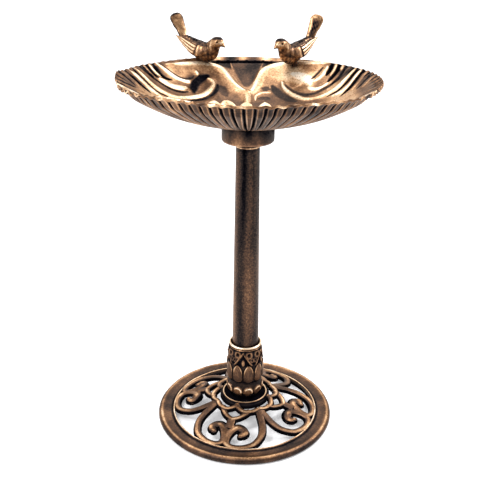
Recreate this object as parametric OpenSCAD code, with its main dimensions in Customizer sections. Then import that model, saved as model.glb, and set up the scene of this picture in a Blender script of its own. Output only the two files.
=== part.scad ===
// Pedestal bird bath: openwork base, socket sleeve, tapered pole, turning collar,
// lift-off fluted basin and two small birds perched on its back rim.
// Millimetres, +Z up, origin at the centre of the base on the ground, front towards -Y.

/* [Overall] */
// Height of the basin's rim above the ground
rim_h = 718; // [660:2:780]
// Diameter over the basin's scalloped rim
basin_d = 484; // [440:4:540]
// Diameter of the round base
base_d = 368; // [340:4:420]

/* [Base] */
// Height of the base's outer ring
ring_h = 15; // [13:0.5:18]
// Width of the ring from its outer edge to its opening
ring_w = 35; // [30:1:40]
// Height of the rim of the hub dish
hub_h = 53; // [48:0.5:60]
// Radius of the hub, where the scrollwork starts
hub_r = 52; // [50:0.5:54]
// Depth of the scrollwork's straps
strap_t = 9; // [7:0.5:11]
// Turn of the whole scrollwork about the vertical
scroll_turn = -17; // [-45:1:45]

/* [Sleeve] */
// Height of the sleeve that holds the pole's foot
sleeve_h = 124; // [110:1:140]
// Largest radius of the sleeve
sleeve_r = 38.5; // [37:0.5:41]

/* [Pole] */
// Radius of the pole at its foot
pole_foot_r = 28.2; // [27.6:0.1:28.3]
// Radius of the pole at its top
pole_top_r = 22.6; // [21.5:0.1:24]
// Wall thickness of the pole
pole_wall = 3; // [2.5:0.25:4]

/* [Collar] */
// Outer radius of the collar under the basin
collar_r = 49.6; // [47:0.2:52]
// Radius of the spigot that the collar turns on
spigot_r = 16; // [14:0.5:18]

/* [Basin] */
// Number of flutes round the basin
flutes = 80; // [48:4:96]
// Depth of the flutes at the rim
flute_depth = 5; // [2:0.5:7]
// Thickness of the basin's wall
basin_wall = 6; // [5:0.5:8]

/* [Birds] */
// Angle between each bird's perch and the back of the rim
perch_angle = 25; // [15:1:40]
// How far each bird turns from the rim's left-right line towards the front
bird_turn = 30; // [0:1:60]
// The right bird is turned this much further towards the front
right_bird_turn = 11; // [0:1:20]
// Size of the birds, 1 being 118 mm from beak to wing tips
bird_size = 1; // [0.9:0.02:1.04]

/* [Hidden] */
$fn = 96;

bronze = "#6b4a35";
dark_bronze = "#3a2d28";
pale_bronze = "#a8805a";
steel = "#8d8f92";

// Base
base_r = base_d / 2;
opening_r = base_r - ring_w;      // inside of the outer ring
edge_r = ring_h / 2;              // rounded outer edge of the ring
ring_skin = 4;                    // thickness of the hollow ring's top and inner side
foot_w = 6;                       // flat foot inside the ring's rounded edge
bead_r = 1.8;                     // small bead along the ring's inner edge
hub_bead_r = 2.2;                 // bright bead round the hub dish
dish_z = hub_h - 2.5;             // floor of the hub dish
dish_floor = 6;                   // thickness of that floor
strap_top_hub = hub_h - 2;        // top of the scrollwork where it meets the hub
strap_top_ring = ring_h - 1;      // top of the scrollwork where it meets the ring
quarter = 45;                     // half of the angle that one scroll panel fills

// Sleeve and the screws that hold it
sleeve_z = dish_z;
sleeve_top = sleeve_z + sleeve_h;
socket_z = sleeve_z + 15.5;       // floor of the socket inside the sleeve
socket_r = pole_foot_r + 0.5;     // bore of the socket
sleeve_bead_r = 2.4;
stub_r = 10;                      // stub that centres the pole's foot
running = 0.06;                   // radial clearance of a running fit
screw_ring_r = 21;                // screws stand on this radius
screw_r = 2;
screw_grip = 11;                  // how far a sleeve screw goes into the sleeve
washer_t = 1;
screw_count = 4;

// Pole
lift_gap = 0.2;                   // vertical clearance between parts that lift apart
pole_z = socket_z + lift_gap + 3; // foot of the tube, on its plug's flange
collar_z = rim_h - 117;           // underside of the collar
pole_top = collar_z - lift_gap - 2.6;
plug_gap = 0.05;                  // the plugs are glued in with this gap

// Collar and the ring that seats the basin
basin_z = collar_z + 32.7;        // flat middle of the basin's underside
pocket_r = 42;                    // pocket in the collar's top
pocket_z = collar_z + 6.2;
hub_tube_r = 24;                  // tube round the spigot inside the collar
seat_gap = 0.08;                  // radial clearance of the seat ring in its pocket

// Basin: radius and height above basin_z of the mean underside, centre to rim
basin_r = basin_d / 2;
flat_r = 52;                      // radius of the flat middle of the underside
rim_rise = rim_h - basin_z;
rim_thin = 0.6;                   // wall thickness at the rim, as a share of basin_wall

// Birds
perch_r = basin_r - 17;
right_perch_in = 7;               // the right bird stands this much further in
right_bird_lean = [1.2, 4.0, 0];   // how far its body is from over its foot, along and across it
perch_z = rim_h - 11.5;
bird_screw_r = 1.75;
boss_z = perch_z - 7;             // foot of the screw boss under each perch

// ---------------------------------------------------------------- helpers

function polar(angle, r) = [r * cos(angle), r * sin(angle)];

// A point on the smooth curve through p1 and p2, with neighbours p0 and p3
function curve(p0, p1, p2, p3, t) =
    0.5 * (2 * p1 + (p2 - p0) * t + (2 * p0 - 5 * p1 + 4 * p2 - p3) * t * t
           + (3 * p1 - p0 - 3 * p2 + p3) * t * t * t);

// A smooth line through all the points, with steps pieces between neighbours
function smooth(points, steps) =
    let (last = len(points) - 1)
    [for (i = [0:last - 1]) for (k = [0:steps - 1])
        curve(points[max(0, i - 1)], points[i], points[i + 1],
              points[min(last, i + 2)], k / steps),
     points[last]];

// The unit vector square to a line at its i-th point
function side(line, i) =
    let (d = line[min(len(line) - 1, i + 1)] - line[max(0, i - 1)])
    [-d[1], d[0]] / norm(d);

// The outline of a strap along a line, whose half width goes from w0 to w1
function strap_outline(line, w0, w1) =
    let (last = len(line) - 1)
    concat([for (i = [0:last]) line[i] + side(line, i) * (w0 + (w1 - w0) * i / last)],
           [for (i = [last:-1:0]) line[i] - side(line, i) * (w0 + (w1 - w0) * i / last)]);

function flip(line) = [for (p = line) [p[0], -p[1]]];

// Round bar with its lowest end at z
module post(r, z, h) {
    translate([0, 0, z]) cylinder(r = r, h = h);
}

// Copies its children count times round the vertical
module around(count, start = 0) {
    for (i = [0:count - 1]) rotate([0, 0, start + 360 * i / count]) children();
}

// ---------------------------------------------------------------- base

module base_ring() {
    color(bronze) rotate_extrude() difference() {
        union() {
            translate([base_r - edge_r, edge_r]) circle(r = edge_r);
            translate([opening_r, 0]) square([ring_w - edge_r, ring_h - 1.2]);
            translate([opening_r + bead_r, ring_h - 1.2]) circle(r = bead_r);
        }
        translate([opening_r + ring_skin, -1])
            square([ring_w - edge_r - ring_skin - foot_w, ring_h - 0.2 - ring_skin]);
    }
}

// Half of a heart: out of the corner by the hub, round the ring, up into a volute.
// Angles are from the middle of the panel.
half_heart = smooth([polar(45, 62), polar(41, 82), polar(38.5, 102), polar(34, 121),
                     polar(26, 137.5), polar(17, 144.5), polar(8.5, 145.5),
                     polar(3, 141), polar(1.4, 132), polar(2, 120), polar(5, 108.5),
                     polar(10, 102), polar(14.8, 105.5), polar(16.6, 114),
                     polar(14, 121)], 3);
scallop = smooth([polar(44, 63), polar(32, 66.5), polar(17, 66), polar(5, 58.5),
                  polar(-1, 50)], 3);
vee = smooth([polar(26, 64), polar(16, 76), polar(8, 82.5), polar(-1, 86)], 2);

module strap(line, w0, w1) {
    linear_extrude(height = hub_h + 10) polygon(strap_outline(line, w0, w1));
}

// The panel's pattern as upright prisms
module panel_pattern() {
    for (line = [half_heart, flip(half_heart)]) strap(line, 7, 5.4);
    for (line = [scallop, flip(scallop), vee, flip(vee)]) strap(line, 4.7, 4.7);
    translate([98, 0, 0]) linear_extrude(height = hub_h + 10)
        square([20, 16], center = true);
    for (s = [-1, 1]) translate(polar(s * 14, 121.5)) cylinder(r = 6, h = hub_h + 10);
}

// One quarter of the openwork: the pattern cut to a shallow cone's shell
module scroll_panel(quarter_turn) {
    reach = opening_r / cos(quarter) + 10;
    rotate([0, 0, -90 + scroll_turn + 90 * quarter_turn]) intersection() {
        scale(opening_r / 149) panel_pattern();
        rotate_extrude() polygon([[hub_r, strap_top_hub - strap_t],
                                  [opening_r, strap_top_ring - strap_t],
                                  [opening_r, strap_top_ring],
                                  [hub_r, strap_top_hub]]);
        linear_extrude(height = hub_h + 10)
            polygon([[0, 0], polar(-quarter, reach), polar(quarter, reach)]);
    }
}

module front_scroll() { color(pale_bronze) scroll_panel(0); }
module right_scroll() { color(pale_bronze) scroll_panel(1); }
module back_scroll() { color(pale_bronze) scroll_panel(2); }
module left_scroll() { color(pale_bronze) scroll_panel(3); }

module hub_dish() {
    bead_line = hub_r - 6.8;
    color(dark_bronze) difference() {
        rotate_extrude() {
            polygon([[0, dish_z - dish_floor], [hub_r - 8, dish_z - dish_floor],
                     [hub_r - 5, strap_top_hub - strap_t - 2],
                     [hub_r, strap_top_hub - strap_t - 2], [hub_r, strap_top_hub],
                     [bead_line + 1.5, hub_h - 1.2], [bead_line - 1.5, hub_h - 1.2],
                     [bead_line - 2, dish_z], [0, dish_z]]);
            translate([bead_line, hub_h - 2]) circle(r = hub_bead_r);
        }
        around(screw_count, quarter) translate([screw_ring_r, 0, 0])
            post(screw_r + 0.3, dish_z - dish_floor - 1, dish_floor + 2);
    }
}

// ---------------------------------------------------------------- sleeve

// Outside of the sleeve: foot, leaf bud, waist, long belly under the top bead.
// Radii are steps in from the belly, heights are shares of the sleeve.
sleeve_outside = smooth([[-7.5, 0], [-7.5, 0.06], [-5.2, 0.095], [-2.6, 0.13],
                         [-3.3, 0.2], [-3.4, 0.27], [-1.4, 0.36], [0, 0.46],
                         [0, 0.58], [-0.8, 0.68], [-2.6, 0.79], [-4.6, 0.89],
                         [-5.2, 0.93]], 2);

module lower_sleeve() {
    color(bronze) difference() {
        rotate_extrude() {
            polygon(concat([[0, sleeve_z]],
                           [for (p = sleeve_outside)
                               [sleeve_r + p[0], sleeve_z + p[1] * sleeve_h]],
                           [[socket_r + 3.6, sleeve_top - sleeve_bead_r],
                            [0, sleeve_top - sleeve_bead_r]]));
            translate([socket_r + sleeve_bead_r, sleeve_top - sleeve_bead_r])
                circle(r = sleeve_bead_r);
        }
        post(socket_r, socket_z, sleeve_h);
        post(stub_r + running, sleeve_z + 3, sleeve_h);
        around(screw_count, quarter) translate([screw_ring_r, 0, 0])
            post(screw_r + running, sleeve_z - 1, screw_grip + 2);
    }
}

// Pan-head screw, head down, with its head's top face at z
module screw(r, z, length) {
    post(r, z - 1, length + 1);
    post(2 * r, z - 1.4 * r, 1.4 * r);
}

module washer(r, z) {
    difference() {
        post(2.3 * r, z, washer_t);
        post(r + 0.2, z - 1, washer_t + 2);
    }
}

under_dish = dish_z - dish_floor - washer_t;

module sleeve_screws() {
    color(steel) around(screw_count, quarter) translate([screw_ring_r, 0, 0])
        screw(screw_r, under_dish, dish_floor + washer_t + screw_grip);
}

module sleeve_washers() {
    color(steel) around(screw_count, quarter) translate([screw_ring_r, 0, 0])
        washer(screw_r, under_dish);
}

// ---------------------------------------------------------------- pole

function pole_r(z) =
    pole_foot_r + (pole_top_r - pole_foot_r) * (z - pole_z) / (pole_top - pole_z);

module pole() {
    color(bronze) rotate_extrude()
        polygon([[pole_foot_r - pole_wall, pole_z], [pole_foot_r, pole_z],
                 [pole_top_r, pole_top], [pole_top_r - pole_wall, pole_top]]);
}

// Closes the tube's foot and stands on the socket's floor
module pole_foot_plug() {
    plug_h = 24;
    color(dark_bronze) {
        post(pole_r(pole_z + plug_h) - pole_wall - plug_gap, pole_z - 3, plug_h + 3);
        post(pole_foot_r, pole_z - 3, 3);
        post(stub_r, sleeve_z + 4, pole_z - 3 - sleeve_z);
    }
}

// Closes the tube's top and carries the spigot that the collar turns on
module pole_top_plug() {
    plug_h = 28;
    color(dark_bronze) {
        post(pole_top_r - pole_wall - plug_gap, pole_top - plug_h, plug_h + 1);
        post(pole_top_r, pole_top, 2.6);
        post(spigot_r, pole_top, 26);
        translate([0, 0, pole_top + 26]) cylinder(r1 = spigot_r, r2 = spigot_r - 2, h = 2);
    }
}

// ---------------------------------------------------------------- collar

module collar() {
    round_r = 5;
    color(bronze) rotate_extrude() difference() {
        union() {
            translate([0, collar_z]) square([collar_r - round_r, round_r]);
            translate([collar_r - round_r, collar_z + round_r]) circle(r = round_r);
            translate([0, collar_z + round_r])
                square([collar_r, basin_z - 0.3 - collar_z - round_r]);
        }
        translate([-1, collar_z - 1]) square([spigot_r + running + 1, 40]);
        translate([hub_tube_r, pocket_z]) square([pocket_r - hub_tube_r, 40]);
        translate([-1, collar_z + 26.5]) square([hub_tube_r + 2, 40]);
    }
}

// Bonded under the basin; drops into the collar's pocket
module seat_ring() {
    color(dark_bronze) rotate_extrude()
        translate([hub_tube_r + 0.4, pocket_z + lift_gap])
            square([pocket_r - seat_gap - hub_tube_r - 0.4,
                    basin_z - pocket_z - lift_gap]);
}

// ---------------------------------------------------------------- basin

// Mean underside of the basin: 0 at the flat middle, 1 at the rim
function underside(r) =
    let (t = max(0, (r - flat_r) / (basin_r - flat_r)))
    0.62 * t + 0.38 * t * t * t;

// Each ring of the closed shell: radius, height, and half the flutes' depth there
inner_rings = [for (r = [0.17, 0.38, 0.6, 0.8, 0.92])
    [r * basin_r, basin_z + basin_wall * (1 - (1 - rim_thin) * r)
                  + rim_rise * underside(r * basin_r),
     flute_depth / 2 * pow(r, 6)]];
outer_rings = [for (r = [0.93, 0.8, 0.66, 0.5, 0.36, 0.26])
    [r * basin_r, basin_z + (rim_rise - basin_wall * rim_thin) * underside(r * basin_r)
                  + flute_depth / 2 * min(1, 2.2 * (r - 0.22)),
     flute_depth / 2 * min(1, 2.2 * (r - 0.22))]];
rim_rings = [[basin_r - 1, rim_h - 2, 1.6],
             [basin_r - 1.6, rim_h - basin_wall * rim_thin - 2, 1.6]];
basin_rings = concat(inner_rings, rim_rings, outer_rings, [[flat_r, basin_z, 0]]);

around_count = 2 * flutes;
ring_count = len(basin_rings);

// Ridges hang down from the underside and stand out at the rim
function basin_point(ring, i) =
    let (crest = i % 2 == 0 ? 1 : -1,
         at_rim = ring[0] > 0.99 * basin_r,
         r = ring[0] + (at_rim ? crest : 0),
         z = ring[1] - crest * ring[2])
    [r * cos(360 * i / around_count), r * sin(360 * i / around_count), z];

basin_points = concat(
    [[0, 0, basin_z + basin_wall]],
    [for (ring = basin_rings) for (i = [0:around_count - 1]) basin_point(ring, i)],
    [[0, 0, basin_z]]);

function at(ring, i) = 1 + ring * around_count + i % around_count;

basin_faces = concat(
    [for (i = [0:around_count - 1]) [0, at(0, i + 1), at(0, i)]],
    [for (k = [0:ring_count - 2]) for (i = [0:around_count - 1])
        [at(k, i), at(k, i + 1), at(k + 1, i + 1)]],
    [for (k = [0:ring_count - 2]) for (i = [0:around_count - 1])
        [at(k, i), at(k + 1, i + 1), at(k + 1, i)]],
    [for (i = [0:around_count - 1])
        [len(basin_points) - 1, at(ring_count - 1, i), at(ring_count - 1, i + 1)]]);

// Places its children at the two perches: side 1 is the left one, -1 the right one
module perch(side) {
    in = side > 0 ? 0 : right_perch_in;
    rotate([0, 0, 90 + side * perch_angle]) translate([perch_r - in, 0, 0])
        rotate([0, 0, -90 - side * perch_angle]) children();
}

module basin() {
    color(bronze) difference() {
        union() {
            polyhedron(points = basin_points, faces = basin_faces, convexity = 6);
            for (side = [-1, 1]) perch(side) post(6.5, boss_z, 5);
        }
        for (side = [-1, 1]) perch(side) post(bird_screw_r + 0.3, basin_z, rim_h);
    }
}

// ---------------------------------------------------------------- birds

// A ball with centre p
module ball(p, r) {
    translate(p) sphere(r = r, $fn = 20);
}

// The bird's body, wings and tail
module bird_body() {
    tail_tilt = 28;
    tail_twist = 32;
    hull() {
        ball([14, 0, 21], 17);
        ball([-8, 0, 20], 15.5);
        ball([-42, 0, 49], 7.5);
        ball([10, 0, 32], 13);
    }
    hull() {
        ball([16, 0, 25], 14.5);
        ball([35.5, 0, 45.2], 12);
    }
    hull() {
        ball([44, 0, 43], 5);
        ball([53, 0, 38], 0.8);
    }
    for (s = [-1, 1]) hull() {
        ball([12, s * 13, 28], 6);
        ball([-24, s * 12, 34], 6);
        ball([-64, s * 7, 53], 1.4);
    }
    translate([-47, 0, 48]) rotate([0, -tail_tilt, 0]) rotate([0, 0, -tail_twist]) hull() {
        translate([0, 0, 3]) cube([5, 17, 6], center = true);
        translate([-2.5, 0, 42.5]) rotate([0, 90, 0]) cylinder(r = 13, h = 5, $fn = 32);
    }
}

// A small perching bird facing +X, its foot at the origin and its body moved over by lean
module bird(lean) {
    difference() {
        union() {
            translate(lean) bird_body();
            post(6, -2, 12);
        }
        post(bird_screw_r + running, -5, 19);
    }
}

module placed_bird(side) {
    perch(side) translate([0, 0, perch_z])
        mirror([side > 0 ? 0 : 1, 0, 0])
            rotate([0, 0, -bird_turn - (side > 0 ? 0 : right_bird_turn)])
                scale(bird_size) bird(side > 0 ? [0, 0, 0] : right_bird_lean);
}

module bird_left() { color(pale_bronze) placed_bird(1); }
module bird_right() { color(pale_bronze) placed_bird(-1); }

// The birds' screws come up through the rim
under_rim = boss_z - washer_t;

module bird_screws() {
    color(steel) for (side = [-1, 1]) perch(side) screw(bird_screw_r, under_rim, 19);
}

module bird_washers() {
    color(steel) for (side = [-1, 1]) perch(side) washer(bird_screw_r, under_rim);
}

base_ring();
front_scroll();
right_scroll();
back_scroll();
left_scroll();
hub_dish();
lower_sleeve();
sleeve_screws();
sleeve_washers();
pole();
pole_foot_plug();
pole_top_plug();
collar();
seat_ring();
basin();
bird_left();
bird_right();
bird_screws();
bird_washers();
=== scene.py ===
"""Looks of the pedestal bird bath: an antique bronze finish over cast relief.

Lengths are millimetres until a mesh is made, and every place is worked out from the CAD
frame's own boxes. The front is towards -Y.
"""

import math

import bmesh
import bpy
import numpy as np
from mathutils import Matrix, Vector


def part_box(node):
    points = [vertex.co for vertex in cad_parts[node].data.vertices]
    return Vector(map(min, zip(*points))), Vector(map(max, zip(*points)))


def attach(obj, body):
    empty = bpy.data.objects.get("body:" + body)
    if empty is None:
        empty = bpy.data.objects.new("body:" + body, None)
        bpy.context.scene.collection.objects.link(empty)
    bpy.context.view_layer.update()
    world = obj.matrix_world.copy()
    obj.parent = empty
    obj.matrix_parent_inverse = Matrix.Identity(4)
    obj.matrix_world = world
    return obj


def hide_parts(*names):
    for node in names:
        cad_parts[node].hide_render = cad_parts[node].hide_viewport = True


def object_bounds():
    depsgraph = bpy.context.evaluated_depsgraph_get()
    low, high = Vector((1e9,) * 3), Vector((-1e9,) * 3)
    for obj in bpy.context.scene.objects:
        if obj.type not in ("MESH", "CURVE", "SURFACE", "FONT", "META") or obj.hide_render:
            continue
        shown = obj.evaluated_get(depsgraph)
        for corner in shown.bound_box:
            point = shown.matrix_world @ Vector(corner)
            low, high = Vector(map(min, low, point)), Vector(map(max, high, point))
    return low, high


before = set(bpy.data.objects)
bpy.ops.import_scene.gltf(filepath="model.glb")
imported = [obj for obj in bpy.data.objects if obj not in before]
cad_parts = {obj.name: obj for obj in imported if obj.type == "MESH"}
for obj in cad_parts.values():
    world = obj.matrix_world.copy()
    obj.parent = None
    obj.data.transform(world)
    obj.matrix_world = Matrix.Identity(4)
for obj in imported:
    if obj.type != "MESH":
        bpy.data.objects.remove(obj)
CAD_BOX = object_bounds()
MM = 0.001


# ---- small helpers

def span(node):
    """Lowest and highest corner of a CAD node, in millimetres."""
    low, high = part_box(node)
    return np.array(low) / MM, np.array(high) / MM


def unit(value):
    return np.clip(value, 0, 1)


def step(low, high, value):
    """0 below low, 1 above high, and smooth between."""
    t = unit((value - low) / (high - low))
    return t * t * (3 - 2 * t)


def bump(distance, width):
    """1 at distance 0, falling smoothly to nothing over about two widths."""
    return np.exp(-(distance / width) ** 2)


def mix(a, b, share):
    return a + (b - a) * share


def off(angle, middle):
    """Degrees from a middle angle round to an angle given in radians, -180 to 180."""
    return (np.degrees(angle) - middle + 180) % 360 - 180


def spin(u, v, angle):
    """The pair (u, v) turned by an angle in radians."""
    c, s = math.cos(angle), math.sin(angle)
    return u * c - v * s, u * s + v * c


def smooth_line(points, steps=6):
    """A smooth line through the points, with steps pieces between neighbours."""
    p = np.array(points, float)
    p = np.vstack([2 * p[0] - p[1], p, 2 * p[-1] - p[-2]])
    t = (np.arange(steps) / steps)[:, None]
    pieces = []
    for a, b, c, d in zip(p[:-3], p[1:-2], p[2:-1], p[3:]):
        pieces.append(0.5 * (2 * b + (c - a) * t + (2 * a - 5 * b + 4 * c - d) * t**2
                             + (3 * b - a - 3 * c + d) * t**3))
    return np.vstack(pieces + [p[-2:-1]])


def nearest(line, x, y):
    """Signed distance from points to a line (left of it is positive), and how far along."""
    best = np.full(x.shape, 1e9)
    side = np.zeros(x.shape)
    along = np.zeros(x.shape)
    lengths = np.hypot(*np.diff(line, axis=0).T)
    travelled = 0.0
    for a, b, length in zip(line[:-1], line[1:], lengths):
        dx, dy = (b - a) / length
        t = np.clip((x - a[0]) * dx + (y - a[1]) * dy, 0, length)
        gap_x, gap_y = x - a[0] - t * dx, y - a[1] - t * dy
        d = np.hypot(gap_x, gap_y)
        closer = d < best
        best[closer] = d[closer]
        side[closer] = np.sign(dx * gap_y - dy * gap_x)[closer]
        along[closer] = (travelled + t[closer]) / lengths.sum()
        travelled += length
    return best * np.where(side < 0, -1, 1), along


def waves(seed, size, *coordinates):
    """Smooth seeded unevenness between about -1 and 1, its humps about size wide."""
    random = np.random.default_rng(seed)
    total = 0.0
    count = 9
    for _ in range(count):
        way = random.normal(size=len(coordinates))
        way *= random.uniform(1.5, 4.5) / size / np.linalg.norm(way)
        total = total + np.sin(sum(w * c for w, c in zip(way, coordinates))
                               + random.uniform(0, 2 * math.pi))
    return total / math.sqrt(count) / 1.4


def round_waves(seed, size, angle, reach):
    """Seeded unevenness on a circle of radius reach."""
    return waves(seed, size, reach * np.cos(angle), reach * np.sin(angle))


# ---- meshes and pieces

def show(thing):
    bpy.context.scene.collection.objects.link(thing)


def new_piece(name, points, faces, sharp_angle=None):
    """An object from points in millimetres."""
    mesh = bpy.data.meshes.new(name)
    mesh.from_pydata((np.asarray(points) * MM).tolist(), [], faces)
    mesh.validate()
    mesh.shade_smooth()
    if sharp_angle is not None:
        mesh.set_sharp_from_angle(angle=math.radians(sharp_angle))
    piece = bpy.data.objects.new(name, mesh)
    show(piece)
    return piece


def grid_faces(rows, columns, wrap_rows=False):
    """Faces of a grid of points whose columns go right round."""
    i = np.arange(rows if wrap_rows else rows - 1)[:, None] * columns
    j = np.arange(columns)[None, :]
    up = (i + columns) % (rows * columns) if wrap_rows else i + columns
    right = (j + 1) % columns
    quads = np.stack([i + j, i + right, up + right, up + j], axis=-1).reshape(-1, 4)
    return quads.tolist()


def capped_faces(rows, columns):
    """Faces of a grid of rings, with a cap on its first and last ring."""
    last = (rows - 1) * columns
    caps = [list(range(columns - 1, -1, -1)), list(range(last, last + columns))]
    return grid_faces(rows, columns) + caps


def turned(rows, count, relief=None):
    """Points of a profile, a list of (radius, height), turned about the vertical."""
    profile = np.array(rows, float)
    phi = np.arange(count) * 2 * math.pi / count
    r = np.repeat(profile[:, :1], count, axis=1)
    z = np.repeat(profile[:, 1:], count, axis=1)
    angle = np.repeat(phi[None, :], len(profile), axis=0)
    if relief is not None:
        r, z = relief(r, z, angle)
    return np.stack([r * np.cos(angle), r * np.sin(angle), z], axis=-1).reshape(-1, 3)


def turned_piece(name, rows, count, sharp_angle, relief=None, closed=True):
    """A piece turned from a profile, which is a closed loop unless it ends on the axis."""
    faces = grid_faces(len(rows), count, closed)
    return new_piece(name, turned(rows, count, relief), faces, sharp_angle)


def weld(piece, gap=1e-6):
    """Joins points that lie in one place, such as a ring of radius 0."""
    made = bmesh.new()
    made.from_mesh(piece.data)
    bmesh.ops.remove_doubles(made, verts=made.verts, dist=gap)
    bmesh.ops.dissolve_degenerate(made, edges=made.edges, dist=gap)
    bmesh.ops.recalc_face_normals(made, faces=made.faces)
    made.to_mesh(piece.data)
    made.free()
    return piece


def triples(items, name):
    """Three numbers of each of a mesh's items."""
    out = np.zeros(len(items) * 3)
    items.foreach_get(name, out)
    return out.reshape(-1, 3)


def places(piece):
    """A piece's points in millimetres."""
    return triples(piece.data.vertices, "co") / MM


def normals(piece):
    return triples(piece.data.vertex_normals, "vector")


def move_points(piece, points):
    piece.data.vertices.foreach_set("co", (points * MM).ravel())
    piece.data.update()


def relax(piece, times):
    """Moves every point half-way to the middle of its neighbours."""
    edges = np.zeros(len(piece.data.edges) * 2, int)
    piece.data.edges.foreach_get("vertices", edges)
    a, b = edges.reshape(-1, 2).T
    points = places(piece)
    count = np.bincount(np.r_[a, b], minlength=len(points))[:, None]
    for _ in range(times):
        total = np.stack([np.bincount(np.r_[a, b], np.r_[points[b, k], points[a, k]],
                                      len(points)) for k in range(3)], axis=-1)
        points = mix(points, total / np.maximum(count, 1), 0.5)
    move_points(piece, points)


def fuse(piece, size):
    """Turns overlapping closed shells into one skin."""
    union = piece.modifiers.new("union", "REMESH")
    union.mode = "VOXEL"
    union.voxel_size = size * MM
    union.use_smooth_shade = True
    graph = bpy.context.evaluated_depsgraph_get()
    mesh = bpy.data.meshes.new_from_object(piece.evaluated_get(graph))
    piece.modifiers.clear()
    piece.data = mesh


def paint(piece, patina_and_light):
    """Stores how far the bronze is rubbed, with painted highlights and painted shade laid into the
    same layer: 0 is the dark undercoat, 1 the palest gold.
    """
    layer = piece.data.attributes.new("patina_and_light", "FLOAT", "POINT")
    layer.data.foreach_set("value", unit(patina_and_light).astype(np.float32))


def finish_piece(piece, material, body, slot, *nodes):
    """Gives a piece its material and body, and lets it stand for its CAD nodes."""
    piece.data.materials.clear()
    piece.data.materials.append(material)
    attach(piece, body)
    if nodes:
        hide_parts(*nodes)


# ---- materials

def srgb(code):
    """Linear colour from a code such as 8A6242."""
    parts = [int(code[i:i + 2], 16) / 255 for i in (0, 2, 4)]
    return [p / 12.92 if p <= 0.04045 else ((p + 0.055) / 1.055) ** 2.4 for p in parts] + [1]


class Nodes:
    """A short way to write a material's nodes."""

    def __init__(self, name):
        self.material = bpy.data.materials.new(name)
        self.material.use_nodes = True
        self.tree = self.material.node_tree
        self.shader = self.tree.nodes["Principled BSDF"]

    def add(self, kind, **settings):
        node = self.tree.nodes.new(kind)
        for key, value in settings.items():
            setattr(node, key, value)
        return node

    def join(self, output, socket):
        self.tree.links.new(output, socket)

    def math(self, operation, a, b=None, clamp=False):
        node = self.add("ShaderNodeMath", operation=operation, use_clamp=clamp)
        for socket, value in zip(node.inputs, (a, b)):
            if isinstance(value, (int, float)):
                socket.default_value = value
            elif value is not None:
                self.join(value, socket)
        return node.outputs[0]

    def noise(self, scale, detail=4.0, roughness=0.55, stretch=(1, 1, 1), shift=0.0):
        """Noise in the object's own space, scale humps to the metre."""
        place = self.add("ShaderNodeTexCoord")
        turn = self.add("ShaderNodeMapping")
        turn.inputs["Scale"].default_value = stretch
        turn.inputs["Location"].default_value = (shift, shift, shift)
        self.join(place.outputs["Object"], turn.inputs["Vector"])
        node = self.add("ShaderNodeTexNoise")
        node.inputs["Scale"].default_value = scale
        node.inputs["Detail"].default_value = detail
        node.inputs["Roughness"].default_value = roughness
        self.join(turn.outputs["Vector"], node.inputs["Vector"])
        return node.outputs["Fac"]

    def ramp(self, value, stops):
        node = self.add("ShaderNodeValToRGB")
        band = node.color_ramp.elements
        while len(band) < len(stops):
            band.new(0.5)
        for element, (place, colour) in zip(band, stops):
            element.position = place
            element.color = colour
        self.join(value, node.inputs["Fac"])
        return node.outputs["Color"]

    def span(self, value, low, high, out_low, out_high):
        node = self.add("ShaderNodeMapRange", clamp=True)
        for socket, number in zip(list(node.inputs)[1:5], (low, high, out_low, out_high)):
            socket.default_value = number
        self.join(value, node.inputs[0])
        return node.outputs[0]


BRONZE_STOPS = [(0.00, "030305"), (0.14, "0D0C11"), (0.28, "231A17"), (0.44, "4E382B"),
                (0.58, "7D5B41"), (0.72, "B58C66"), (0.87, "EACBA6"), (1.00, "FFF3E0")]
METAL, GRAIN = 0.72, 0.25  # how metallic the rubbed bronze is, and the strength of its grain


def bronze(name, patch=0.12, speckle=0.20, patch_scale=28, speckle_scale=520,
           stretch=(1, 1, 1), patina_and_light=None, gloss=0.30):
    """Antique bronze: near-black undercoat, brown, copper and rubbed gold, by the patina_and_light
    layer, which also holds painted highlights and painted shade.

    patch and speckle are how far broad clouds and fine grains shift it, and the scales are
    how many of them there are to the metre. A piece with no patina_and_light layer has one value
    all over.
    """
    n = Nodes(name)
    if patina_and_light is None:
        layer = n.add("ShaderNodeAttribute", attribute_name="patina_and_light").outputs["Fac"]
    else:
        layer = n.math("ADD", n.math("MULTIPLY", n.noise(3, 1, shift=9.0), 0.02), patina_and_light)
    cloud = n.math("SUBTRACT", n.noise(patch_scale, 5, 0.6, stretch), 0.5)
    fine = n.math("SUBTRACT", n.noise(speckle_scale, 3, 0.65), 0.5)
    value = n.math("ADD", layer, n.math("MULTIPLY", cloud, 2 * patch))
    value = n.math("ADD", value, n.math("MULTIPLY", fine, 2 * speckle), clamp=True)
    stops = [(place, srgb(code)) for place, code in BRONZE_STOPS]
    n.join(n.ramp(value, stops), n.shader.inputs["Base Color"])
    n.join(n.span(value, 0.08, 0.45, 0.0, METAL), n.shader.inputs["Metallic"])
    rough = n.span(value, 0.10, 0.6, gloss + 0.25, gloss)
    rough = n.math("ADD", rough, n.math("MULTIPLY", fine, 0.22))
    n.join(rough, n.shader.inputs["Roughness"])
    n.join(n.span(value, 0.12, 0.5, 0.0, 0.5), n.shader.inputs["Specular IOR Level"])
    n.shader.inputs["Specular Tint"].default_value = (0.80, 0.70, 0.62, 1)
    height = n.math("ADD", n.noise(900, 4, 0.6), n.math("MULTIPLY", cloud, 0.6))
    dent = n.add("ShaderNodeBump")
    dent.inputs["Strength"].default_value = GRAIN
    dent.inputs["Distance"].default_value = 0.0006
    n.join(height, dent.inputs["Height"])
    n.join(dent.outputs["Normal"], n.shader.inputs["Normal"])
    return n.material


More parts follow.
